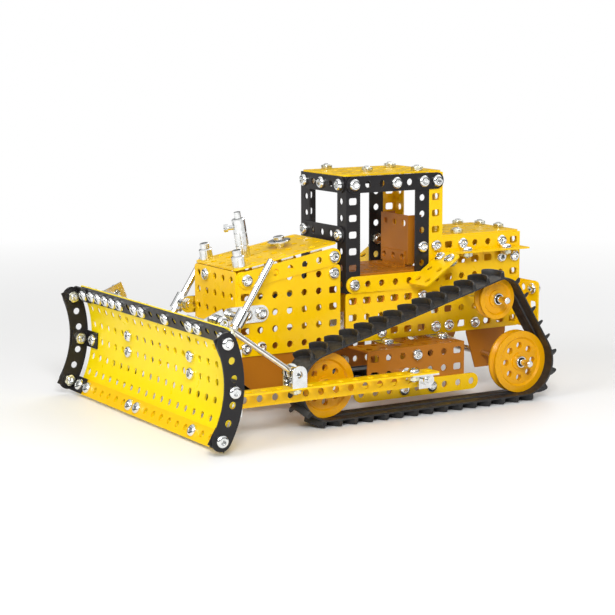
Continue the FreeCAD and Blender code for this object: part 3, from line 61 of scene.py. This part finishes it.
# ------------------------------------------------------------------ shaders
class Shader:
    """A small helper that adds and links the nodes of one material."""

    def __init__(self, name):
        self.material = bpy.data.materials.new(name)
        self.material.use_nodes = True
        self.tree = self.material.node_tree
        self.surface = self.tree.nodes["Principled BSDF"]
        self.where = self.add("ShaderNodeTexCoord").outputs["Object"]

    def add(self, kind, **values):
        node = self.tree.nodes.new(kind)
        for name, value in values.items():
            if name in node.inputs:
                node.inputs[name].default_value = value
            else:
                setattr(node, name, value)
        return node

    def link(self, source, target):
        self.tree.links.new(source, target)

    def noise(self, scale, detail=3.0, roughness=0.5):
        node = self.add("ShaderNodeTexNoise", Scale=scale, Detail=detail, Roughness=roughness)
        self.link(self.where, node.inputs["Vector"])
        return node.outputs["Fac"]

    def ramp(self, source, low, high, start, end):
        """Maps source from start..end to low..high."""
        node = self.add("ShaderNodeMapRange")
        for name, value in zip(("From Min", "From Max", "To Min", "To Max"), (start, end, low, high)):
            node.inputs[name].default_value = value
        self.link(source, node.inputs["Value"])
        return node.outputs["Result"]

    def mix(self, factor, first, second):
        node = self.add("ShaderNodeMix", data_type="RGBA")
        slots = [slot for slot in node.inputs if slot.type == "RGBA"]
        for slot, value in zip(slots, (first, second)):
            if isinstance(value, (tuple, list)):
                slot.default_value = tuple(value) + (1.0,)
            else:
                self.link(value, slot)
        self.link(factor, node.inputs[0])
        return [out for out in node.outputs if out.type == "RGBA"][0]

    def multiply(self, first, second):
        node = self.add("ShaderNodeMath", operation="MULTIPLY")
        self.link(first, node.inputs[0])
        self.link(second, node.inputs[1])
        return node.outputs[0]

    def edges(self, radius):
        """1 on convex and concave edges, 0 on flat faces."""
        bevel = self.add("ShaderNodeBevel", samples=4)
        bevel.inputs["Radius"].default_value = radius
        plain = self.add("ShaderNodeNewGeometry")
        dot = self.add("ShaderNodeVectorMath", operation="DOT_PRODUCT")
        self.link(bevel.outputs["Normal"], dot.inputs[0])
        self.link(plain.outputs["Normal"], dot.inputs[1])
        return self.ramp(dot.outputs["Value"], 1.0, 0.0, 0.75, 0.99)

    def set(self, name, value):
        target = self.surface.inputs[name]
        if isinstance(value, (int, float)):
            target.default_value = value
        else:
            self.link(value, target)

    def bump(self, height, strength, distance):
        node = self.add("ShaderNodeBump", Strength=strength, Distance=distance)
        self.link(height, node.inputs["Height"])
        self.link(node.outputs["Normal"], self.surface.inputs["Normal"])


def paint(name, colour, shade, worn_highlight, roughness, coat):
    """Stove enamel on sheet steel: slight mottling, a fine peel, and edges lightened in patches, partly wear and
    partly a painted highlight.
    """
    shader = Shader(name)
    mottle = shader.ramp(shader.noise(55.0, 4.0), 0.0, 0.55, 0.35, 0.75)
    body = shader.mix(mottle, colour, shade)
    specks = shader.ramp(shader.noise(1400.0, 2.0), 0.0, 0.25, 0.62, 0.75)
    body = shader.mix(specks, body, shade)
    patches = shader.ramp(shader.noise(260.0), 0.15, 0.85, 0.4, 0.62)
    # lighter paint on convex and concave edges in patches: partly wear, partly a painted highlight
    rubbed_highlight = shader.multiply(shader.edges(0.28 * MM), patches)
    shader.set("Base Color", shader.mix(rubbed_highlight, body, worn_highlight))
    sheen = shader.ramp(shader.noise(120.0, 4.0), roughness - 0.05, roughness + 0.09, 0.3, 0.7)
    shader.set("Roughness", sheen)
    shader.set("Coat Weight", coat)
    shader.set("Coat Roughness", 0.12)
    shader.set("Specular IOR Level", 0.2)
    shader.bump(shader.noise(900.0, 2.0), 0.12, 0.03 * MM)
    return shader.material


def plated(name, colour, tint, roughness):
    """Bright zinc or nickel plating, clouded, with fine scratches."""
    shader = Shader(name)
    cloud = shader.ramp(shader.noise(320.0, 4.0), 0.0, 1.0, 0.38, 0.66)
    shader.set("Base Color", shader.mix(cloud, colour, tint))
    shader.set("Metallic", 1.0)
    fine = shader.ramp(shader.noise(1500.0, 5.0, 0.7), roughness - 0.05, roughness + 0.07, 0.3, 0.7)
    shader.set("Roughness", fine)
    shader.bump(shader.noise(2600.0, 4.0), 0.05, 0.01 * MM)
    return shader.material


def rubber_material():
    """Moulded black rubber: matt, dusty, paler at the edges, partly wear and partly a painted highlight."""
    shader = Shader("belt_rubber")
    dust = shader.ramp(shader.noise(180.0, 6.0, 0.65), 0.0, 0.8, 0.45, 0.8)
    body = shader.mix(dust, (0.010, 0.010, 0.011), (0.030, 0.029, 0.028))
    patches = shader.ramp(shader.noise(400.0), 0.25, 0.9, 0.35, 0.6)
    # paler rubber on the edges in patches: partly rubbing wear, partly a painted highlight
    rubbed_highlight = shader.multiply(shader.edges(0.45 * MM), patches)
    shader.set("Base Color", shader.mix(rubbed_highlight, body, (0.10, 0.10, 0.098)))
    shader.set("Roughness", shader.ramp(shader.noise(300.0, 4.0), 0.42, 0.66, 0.3, 0.7))
    shader.bump(shader.noise(1700.0, 3.0), 0.35, 0.06 * MM)
    return shader.material


GOLDEN = (0.96, 0.60, 0.000)
LEMON = (0.95, 0.72, 0.000)
ORANGE = (0.78, 0.37, 0.0)
BLACK = (0.013, 0.012, 0.013)

# paint: colour, shaded colour, worn edge with painted highlight, roughness, coat
MATERIALS = {
    "yellow": paint(
        "paint_golden_yellow", GOLDEN, (0.90, 0.53, 0.0), (0.99, 0.78, 0.10), 0.30, 0.12,
    ),
    "lemon": paint(
        "paint_lemon_yellow", LEMON, (0.92, 0.66, 0.0), (0.99, 0.86, 0.16), 0.32, 0.10,
    ),
    "yellow_deep": paint(
        "paint_warm_yellow", (0.93, 0.56, 0.0), (0.86, 0.49, 0.0), (0.97, 0.7, 0.1), 0.31, 0.12,
    ),
    "wheel": paint(
        "paint_wheel_yellow", ORANGE, (0.70, 0.31, 0.0), (0.92, 0.55, 0.03), 0.28, 0.12,
    ),
    "brown": paint(
        "paint_brown", (0.46, 0.165, 0.010), (0.38, 0.13, 0.008), (0.62, 0.27, 0.04), 0.38, 0.06,
    ),
    "black": paint(
        "paint_black", BLACK, (0.024, 0.022, 0.023), (0.10, 0.098, 0.1), 0.38, 0.12,
    ),
    "silver": plated("zinc_plate", (0.86, 0.87, 0.87), (0.74, 0.75, 0.74), 0.16),
    "rubber": rubber_material(),
    # gap: near-black paint, a painted shadow for shaded bores and gaps
    "gap": paint(
        "bore_shadow", (0.01, 0.009, 0.008), (0.02, 0.018, 0.015), (0.04, 0.04, 0.04), 0.5, 0.0,
    ),
    "rod": plated("drawn_steel", (0.86, 0.85, 0.82), (0.72, 0.71, 0.68), 0.15),
    "passivated": plated("passivated_zinc", (0.84, 0.83, 0.62), (0.70, 0.70, 0.62), 0.28),
}


def dress_cad_nodes():
    """Gives each CAD node its slot's material and slightly rounded sheet edges."""
    slots = {part["node"]: part["material_slot"] for part in frame["record"]["subparts"]}
    rods = ("front_axle", "rear_axle", "upper_axle", "ram_rod_left", "ram_rod_right", "brace_rods")
    for name, node in NODES.items():
        material = MATERIALS["rod" if name in rods else slots[name]]
        node.data.materials.clear()
        node.data.materials.append(material)
        bevel = node.modifiers.new("edges", "BEVEL")
        bevel.width = 0.14 * MM
        bevel.segments = 2
        bevel.limit_method = "ANGLE"
        bevel.angle_limit = math.radians(50)
        bevel.use_clamp_overlap = False
        bevel.harden_normals = False


# ------------------------------------------------------------- mesh helpers
def add_piece(name, mesh, material, body):
    """Puts a finished bmesh in the scene as a piece that rides on a body."""
    data = bpy.data.meshes.new(name)
    bmesh.ops.recalc_face_normals(mesh, faces=mesh.faces)
    mesh.to_mesh(data)
    mesh.free()
    for polygon in data.polygons:
        polygon.use_smooth = True
    data.set_sharp_from_angle(angle=math.radians(35))
    piece = bpy.data.objects.new(name, data)
    bpy.context.scene.collection.objects.link(piece)
    data.materials.append(MATERIALS[material])
    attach(piece, body)
    return piece


def sweep(mesh, rings, closed_along):
    """Skins a list of rings of points, with a cap at each end unless it is a loop."""
    made = [[mesh.verts.new(point) for point in ring] for ring in rings]
    count = len(made)
    around = len(made[0])
    last = count if closed_along else count - 1
    for i in range(last):
        first, second = made[i], made[(i + 1) % count]
        for j in range(around):
            k = (j + 1) % around
            mesh.faces.new((first[j], first[k], second[k], second[j]))
    if not closed_along:
        mesh.faces.new(made[0])
        mesh.faces.new(list(reversed(made[-1])))


def lathe(mesh, profile, matrix, segments=32):
    """Turns a list of (radius, height) points about Z."""
    rings = []
    for radius, height in profile:
        ring = []
        for i in range(segments):
            angle = 2 * math.pi * i / segments
            point = Vector((radius * math.cos(angle), radius * math.sin(angle), height))
            ring.append(mesh.verts.new(matrix @ point))
        rings.append(ring)
    for first, second in zip(rings, rings[1:]):
        for i in range(segments):
            j = (i + 1) % segments
            mesh.faces.new((first[i], first[j], second[j], second[i]))


# --------------------------------------------------------------------- belts
def box_centre(name):
    low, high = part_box(name)
    return (Vector(low) + Vector(high)) / 2, Vector(high) - Vector(low)


class BeltPath:
    """The closed loop of arcs and straight runs round the three wheels."""

    def __init__(self, clearance):
        wheels = []
        for name in ("rear", "upper", "front"):
            centre = JOINTS[name + "_wheels_spin"]["pos_m"]
            size = box_centre(name + "_wheels")[1]
            wheels.append((centre[1], centre[2], size.z / 2 + clearance))
        headings = []
        for i, near in enumerate(wheels):
            far = wheels[(i + 1) % 3]
            dy, dz = far[0] - near[0], far[1] - near[1]
            headings.append(math.atan2(dz, dy) + math.asin((near[2] - far[2]) / math.hypot(dy, dz)))
        self.spans = []
        for i, (y, z, radius) in enumerate(wheels):
            begin = headings[i - 1] - math.pi / 2
            turn = (headings[i] - headings[i - 1]) % (2 * math.pi)
            self.spans.append(("arc", radius * turn, (y, z, radius, begin)))
            far = wheels[(i + 1) % 3]
            side = headings[i] - math.pi / 2
            start = (y + radius * math.cos(side), z + radius * math.sin(side))
            end = (far[0] + far[2] * math.cos(side), far[1] + far[2] * math.sin(side))
            length = math.hypot(end[0] - start[0], end[1] - start[1])
            self.spans.append(("line", length, (start, headings[i])))
        self.length = sum(span[1] for span in self.spans)

    def at(self, distance, height):
        """The (y, z) point at a distance along the loop, height outside it."""
        distance %= self.length
        for kind, length, values in self.spans:
            if distance <= length:
                break
            distance -= length
        if kind == "arc":
            y, z, radius, begin = values
            angle = begin + distance / radius
            reach = radius + height
            return y + reach * math.cos(angle), z + reach * math.sin(angle)
        (y, z), heading = values
        normal = heading - math.pi / 2
        y += distance * math.cos(heading) + height * math.cos(normal)
        z += distance * math.sin(heading) + height * math.sin(normal)
        return y, z


def make_belt(side):
    """A rubber belt: a band with a guide rib inside and arched cleats outside."""
    node = "belt_" + side
    centre, size = box_centre(node)
    path = BeltPath(0.1 * MM)
    half = size.x / 2
    band = 1.05 * MM
    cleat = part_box("rear_wheels")[0][2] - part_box(node)[0][2] - band - 0.1 * MM
    rib = 1.5 * MM
    section = [
        (-half, 0.25 * MM), (-half + 0.25 * MM, 0), (-rib - 0.5 * MM, 0), (-rib, -0.8 * MM),
        (rib, -0.8 * MM), (rib + 0.5 * MM, 0), (half - 0.25 * MM, 0), (half, 0.25 * MM),
        (half, band - 0.2 * MM), (half - 0.2 * MM, band), (0, band),
        (-half + 0.2 * MM, band), (-half, band - 0.2 * MM),
    ]
    mesh = bmesh.new()
    steps = 300
    rings = []
    for i in range(steps):
        distance = path.length * i / steps
        ring = []
        for x, height in section:
            y, z = path.at(distance, height)
            ring.append((centre.x + x, y, z))
        rings.append(ring)
    sweep(mesh, rings, closed_along=True)

    count = round(path.length / (10.5 * MM))
    bow = -4.2 * MM
    profile = [
        (-1.5, -0.3), (-1.5, 0.0), (-0.95, 0.82), (-0.62, 0.97), (-0.1, 1.0),
        (0.45, 0.93), (0.7, 0.75), (1.15, 0.0), (1.15, -0.3),
    ]
    across = 14
    for k in range(count):
        start = path.length * (k + 0.35) / count
        rings = []
        for j in range(across + 1):
            t = 2 * j / across - 1
            distance = start + bow * (1 - t * t)
            height = cleat * (1 - 0.10 * t ** 8)
            ring = []
            for along, up in profile:
                rise = band + (up * height if up >= 0 else up * MM)
                y, z = path.at(distance + along * MM, rise)
                ring.append((centre.x + t * (half - 0.15 * MM), y, z))
            rings.append(ring)
        sweep(mesh, rings, closed_along=False)
    piece = add_piece("belt_rubber_" + side, mesh, "rubber", "chassis")
    bevel = piece.modifiers.new("moulded", "BEVEL")
    bevel.width = 0.12 * MM
    bevel.segments = 2
    bevel.limit_method = "ANGLE"
    bevel.angle_limit = math.radians(35)
    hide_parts(node)


# ---------------------------------------------------------------------- hubs
def make_hubs():
    """A rolled steel lip round each axle, outside each wheel, with a thin near-black ring inside it: a painted
    shadow for the shaded bore.
    """
    lip = [
        (2.7, 0.0), (2.7, 0.45), (2.85, 0.68), (3.15, 0.75), (3.45, 0.68), (3.6, 0.45), (3.6, 0.0),
    ]
    # the thin near-black ring inside the lip is a painted shadow of the shaded bore round the axle
    gap = [(2.03, 0.0), (2.03, 0.1), (2.75, 0.1), (2.75, 0.0)]
    for name in ("front", "rear", "upper"):
        axle_y, axle_z = JOINTS[name + "_wheels_spin"]["pos_m"][1:]
        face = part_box(name + "_wheels")[1][0] + 0.82 * MM
        for piece, profile, material in (("lip", lip, "silver"), ("bore", gap, "gap")):
            mesh = bmesh.new()
            for side in (-1, 1):
                matrix = aim(Vector((side * face, axle_y, axle_z)), Vector((side, 0, 0)), 0.0)
                scaled = [(radius * MM, height * MM) for radius, height in profile]
                lathe(mesh, scaled + scaled[:1], matrix)
            add_piece("%s_hub_%s" % (name, piece), mesh, material, name + "_wheelset")


# ---------------------------------------------------------------- fasteners
NUT_WIDTH = 6.4
NUT_HEIGHT = 2.6
HEAD_HEIGHT = 2.4
SOCKET_WIDTH = 2.7
def islands(node):
    """The vertex positions of each separate solid in a CAD node."""
    data = node.data
    points = np.empty(len(data.vertices) * 3)
    data.vertices.foreach_get("co", points)
    points = points.reshape(-1, 3)
    keys = np.round(points * 2e5).astype(np.int64)
    unique, index = np.unique(keys, axis=0, return_inverse=True)
    index = index.reshape(-1)
    parent = list(range(len(unique)))

    def root(i):
        while parent[i] != i:
            parent[i] = parent[parent[i]]
            i = parent[i]
        return i

    edges = np.empty(len(data.edges) * 2, dtype=np.int64)
    data.edges.foreach_get("vertices", edges)
    for a, b in index[edges].reshape(-1, 2):
        parent[root(a)] = root(b)
    groups = {}
    for vertex, key in enumerate(index):
        groups.setdefault(root(key), []).append(vertex)
    return [points[group] for group in groups.values()]


def read_fasteners(node):
    """Finds each bolt and the nut nearest to it: (seat, axis, shank length, nut top).

    The axis is the nut's, so where another bolt's nut is nearer than its own, as
    for the right ram pin and the right brace's upper bolt, the bolt is misdrawn.
    """
    solids = islands(node)
    nuts, bolts = [], []
    for solid in solids:
        centre = (solid.max(axis=0) + solid.min(axis=0)) / 2
        spread = solid - solid.mean(axis=0)
        values, vectors = np.linalg.eigh(spread.T @ spread)
        axis = vectors[:, 0]
        along = (solid - centre) @ axis
        thick = along.max() - along.min()
        radial = np.linalg.norm((solid - centre) - np.outer(along, axis), axis=1).max()
        if abs(thick - NUT_HEIGHT * MM) < 0.1 * MM and radial > 3.5 * MM:
            nuts.append((solid.mean(axis=0), axis))
        else:
            bolts.append(solid)
    found = []
    for solid in bolts:
        middle = solid.mean(axis=0)
        nut_centre, axis = min(nuts, key=lambda nut: np.linalg.norm(nut[0] - middle))
        along = (solid - nut_centre) @ axis
        radial = np.linalg.norm((solid - nut_centre) - np.outer(along, axis), axis=1)
        head = along[radial > 3.4 * MM].mean()
        if head < 0:
            axis, along = -axis, -along
        seat = along.max() - HEAD_HEIGHT * MM
        nut_top = NUT_HEIGHT / 2 * MM - seat
        found.append((Vector(nut_centre + axis * seat), Vector(axis), seat - along.min(), nut_top))
    return found


def aim(point, axis, spin):
    """A matrix that stands +Z along axis at point, turned about it by spin."""
    turn = axis.to_track_quat("Z", "Y") @ Quaternion((0, 0, 1), spin)
    return Matrix.Translation(point) @ turn.to_matrix().to_4x4()


def hexagon(width, segments):
    """Distance from centre to the side of a hexagon for each of segments angles."""
    reach = []
    for i in range(segments):
        angle = (2 * math.pi * i / segments) % (math.pi / 3) - math.pi / 6
        reach.append(width / 2 / math.cos(angle))
    return reach


def add_bolt(mesh, matrix, shank):
    """A button head with a hexagonal socket, and the end of its thread."""
    segments = 24
    head = [
        (2.0, 0.0), (3.45, 0.0), (3.6, 0.18), (3.6, 0.9), (3.45, 1.5), (3.1, 1.98),
        (2.55, 2.28), (1.95, HEAD_HEIGHT), (1.72, 2.38),
    ]
    rings = []
    for radius, height in head:
        rings.append([(radius, height)] * segments)
    socket = hexagon(SOCKET_WIDTH, segments)
    for height in (2.2, 0.7):
        rings.append([(reach, height) for reach in socket])
    skin_rings(mesh, matrix, rings, segments)
    # the threaded end that shows beyond the nut
    tip = -shank / MM
    thread = [(1.9, 0.0), (1.9, tip + 3.3)]
    level = tip + 3.3
    while level > tip + 0.5:
        thread += [(1.68, level - 0.18), (1.95, level - 0.36)]
        level -= 0.36
    thread += [(1.5, tip)]
    rings = [[point] * segments for point in thread]
    skin_rings(mesh, matrix, rings, segments)


def add_nut(mesh, matrix, top):
    """A chamfered hexagonal nut whose upper face is at height top."""
    segments = 36
    reach = hexagon(NUT_WIDTH, segments)
    corner = 3.42
    low, high = top - NUT_HEIGHT, top
    rings = [
        [(2.0, high - 0.05)] * segments,
        [(2.35, high)] * segments,
        [(2.95, high)] * segments,
        [(min(r, corner), high - 0.22 * (min(r, corner) - 2.95) / 0.5) for r in reach],
        [(r, high - 0.25 - 0.55 * (r - 3.2)) for r in reach],
        [(r, low + 0.25 + 0.55 * (r - 3.2)) for r in reach],
        [(min(r, corner), low + 0.22 * (min(r, corner) - 2.95) / 0.5) for r in reach],
        [(2.95, low)] * segments,
        [(2.35, low)] * segments,
        [(2.0, low + 0.05)] * segments,
    ]
    skin_rings(mesh, matrix, rings, segments, caps=False)


def skin_rings(mesh, matrix, rings, segments, caps=True):
    """Joins rings of (radius, height) in millimetres, one pair per segment."""
    made = []
    for ring in rings:
        vertices = []
        for i, (radius, height) in enumerate(ring):
            angle = 2 * math.pi * i / segments
            point = Vector((radius * math.cos(angle), radius * math.sin(angle), height)) * MM
            vertices.append(mesh.verts.new(matrix @ point))
        made.append(vertices)
    for first, second in zip(made, made[1:]):
        for i in range(segments):
            j = (i + 1) % segments
            mesh.faces.new((first[i], first[j], second[j], second[i]))
    if caps:
        mesh.faces.new(made[-1])
        mesh.faces.new(list(reversed(made[0])))
    else:
        for i in range(segments):
            j = (i + 1) % segments
            mesh.faces.new((made[-1][i], made[-1][j], made[0][j], made[0][i]))


def make_fasteners(node, body):
    bolts, nuts = bmesh.new(), bmesh.new()
    turn = 0.83
    for index, (seat, axis, shank, nut_top) in enumerate(read_fasteners(NODES[node])):
        matrix = aim(seat, axis, index * turn)
        add_bolt(bolts, matrix, shank)
        add_nut(nuts, matrix, nut_top / MM)
    bolt_piece = add_piece(node + "_bolts", bolts, "silver", body)
    add_piece(node + "_nuts", nuts, "passivated", body)
    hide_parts(node)


# --------------------------------------------------------------------- stage
def floor_material():
    """White paper that fades into the white surround away from the toy."""
    shader = Shader("floor_white")
    shader.set("Base Color", shader.mix(shader.noise(3.0), (0.93, 0.93, 0.925), (0.91, 0.91, 0.905)))
    shader.set("Roughness", 0.5)
    shader.set("Specular IOR Level", 0.2)
    glow = shader.add("ShaderNodeEmission", Strength=1.0)
    reach = shader.add("ShaderNodeVectorMath", operation="LENGTH")
    shader.link(shader.where, reach.inputs[0])
    fade = shader.ramp(reach.outputs["Value"], 0.0, 1.0, 0.24, 0.9)
    blend = shader.add("ShaderNodeMixShader")
    shader.link(fade, blend.inputs[0])
    shader.link(shader.surface.outputs[0], blend.inputs[1])
    shader.link(glow.outputs[0], blend.inputs[2])
    shader.link(blend.outputs[0], shader.tree.nodes["Material Output"].inputs["Surface"])
    return shader.material


def sky(tree, height, stops, strength):
    """A surround whose brightness climbs with height: (height, brightness) stops."""
    ramp = tree.nodes.new("ShaderNodeValToRGB")
    while len(ramp.color_ramp.elements) < len(stops):
        ramp.color_ramp.elements.new(0.5)
    for element, (position, brightness) in zip(ramp.color_ramp.elements, stops):
        element.position = position
        element.color = (brightness, brightness, brightness, 1.0)
    glow = tree.nodes.new("ShaderNodeBackground")
    glow.inputs["Strength"].default_value = strength
    tree.links.new(height, ramp.inputs[0])
    tree.links.new(ramp.outputs["Color"], glow.inputs["Color"])
    return glow.outputs[0]


def build_surround():
    """White to the camera, soft overhead light, and banded for reflections."""
    world = bpy.data.worlds.new("studio")
    world.use_nodes = True
    tree = world.node_tree
    where = tree.nodes.new("ShaderNodeTexCoord")
    parts = tree.nodes.new("ShaderNodeSeparateXYZ")
    tree.links.new(where.outputs["Generated"], parts.inputs[0])
    height = parts.outputs["Z"]
    rays = tree.nodes.new("ShaderNodeLightPath")
    soft = sky(tree, height, ((0.0, 0.35), (0.8, 1.0)), 0.55)
    banded = sky(tree, height, ((0.0, 0.03), (0.22, 0.08), (0.5, 0.8), (1.0, 0.95)), 1.0)
    white = sky(tree, height, ((0.0, 1.0), (1.0, 1.0)), 1.0)
    result = soft
    for kind, other in (("Is Glossy Ray", banded), ("Is Camera Ray", white)):
        blend = tree.nodes.new("ShaderNodeMixShader")
        tree.links.new(rays.outputs[kind], blend.inputs[0])
        tree.links.new(result, blend.inputs[1])
        tree.links.new(other, blend.inputs[2])
        result = blend.outputs[0]
    tree.links.new(result, tree.nodes["World Output"].inputs["Surface"])
    bpy.context.scene.world = world


def build_stage():
    """A white floor, a white surround and three soft lamps."""
    mesh = bmesh.new()
    bmesh.ops.create_grid(mesh, x_segments=4, y_segments=4, size=6.0)
    data = bpy.data.meshes.new("floor")
    mesh.to_mesh(data)
    mesh.free()
    floor = bpy.data.objects.new("floor", data)
    bpy.context.scene.collection.objects.link(floor)
    data.materials.append(floor_material())
    build_surround()

    target = Vector((0, 0, 0.06))
    lights = (
        ("key", (0.85, -0.45, 0.65), 0.35, 8.4),
        ("front", (0.25, -1.1, 0.7), 0.5, 5.0),
        ("back", (-0.6, 0.9, 1.0), 0.8, 5.0),
    )
    for name, place, size, power in lights:
        data = bpy.data.lights.new(name, "AREA")
        data.size = size
        data.energy = power
        lamp = bpy.data.objects.new(name, data)
        lamp.location = place
        lamp.rotation_euler = (target - Vector(place)).to_track_quat("-Z", "Y").to_euler()
        bpy.context.scene.collection.objects.link(lamp)


def build_camera():
    """The photograph's own viewpoint: where it stands, and which way it looks."""
    azimuth, elevation, roll = math.radians(58.85), math.radians(8.84), math.radians(-0.13)
    data = bpy.data.cameras.new("camera")
    data.sensor_width = 36.0
    data.lens = 106.6
    camera = bpy.data.objects.new("camera", data)
    camera.location = (0.9355, -0.5771, 0.2285)
    back = Vector((
        math.sin(azimuth) * math.cos(elevation), -math.cos(azimuth) * math.cos(elevation),
        math.sin(elevation),
    ))
    camera.rotation_mode = "QUATERNION"
    look = (-back).to_track_quat("-Z", "Y")
    camera.rotation_quaternion = look @ Quaternion((0, 0, 1), roll)
    bpy.context.scene.collection.objects.link(camera)
    bpy.context.scene.camera = camera


dress_cad_nodes()
for side in ("left", "right"):
    make_belt(side)
make_hubs()
make_fasteners("frame_fasteners", "chassis")
make_fasteners("blade_fasteners", "push_frame")
build_stage()
build_camera()
bpy.context.scene.view_settings.view_transform = "Standard"
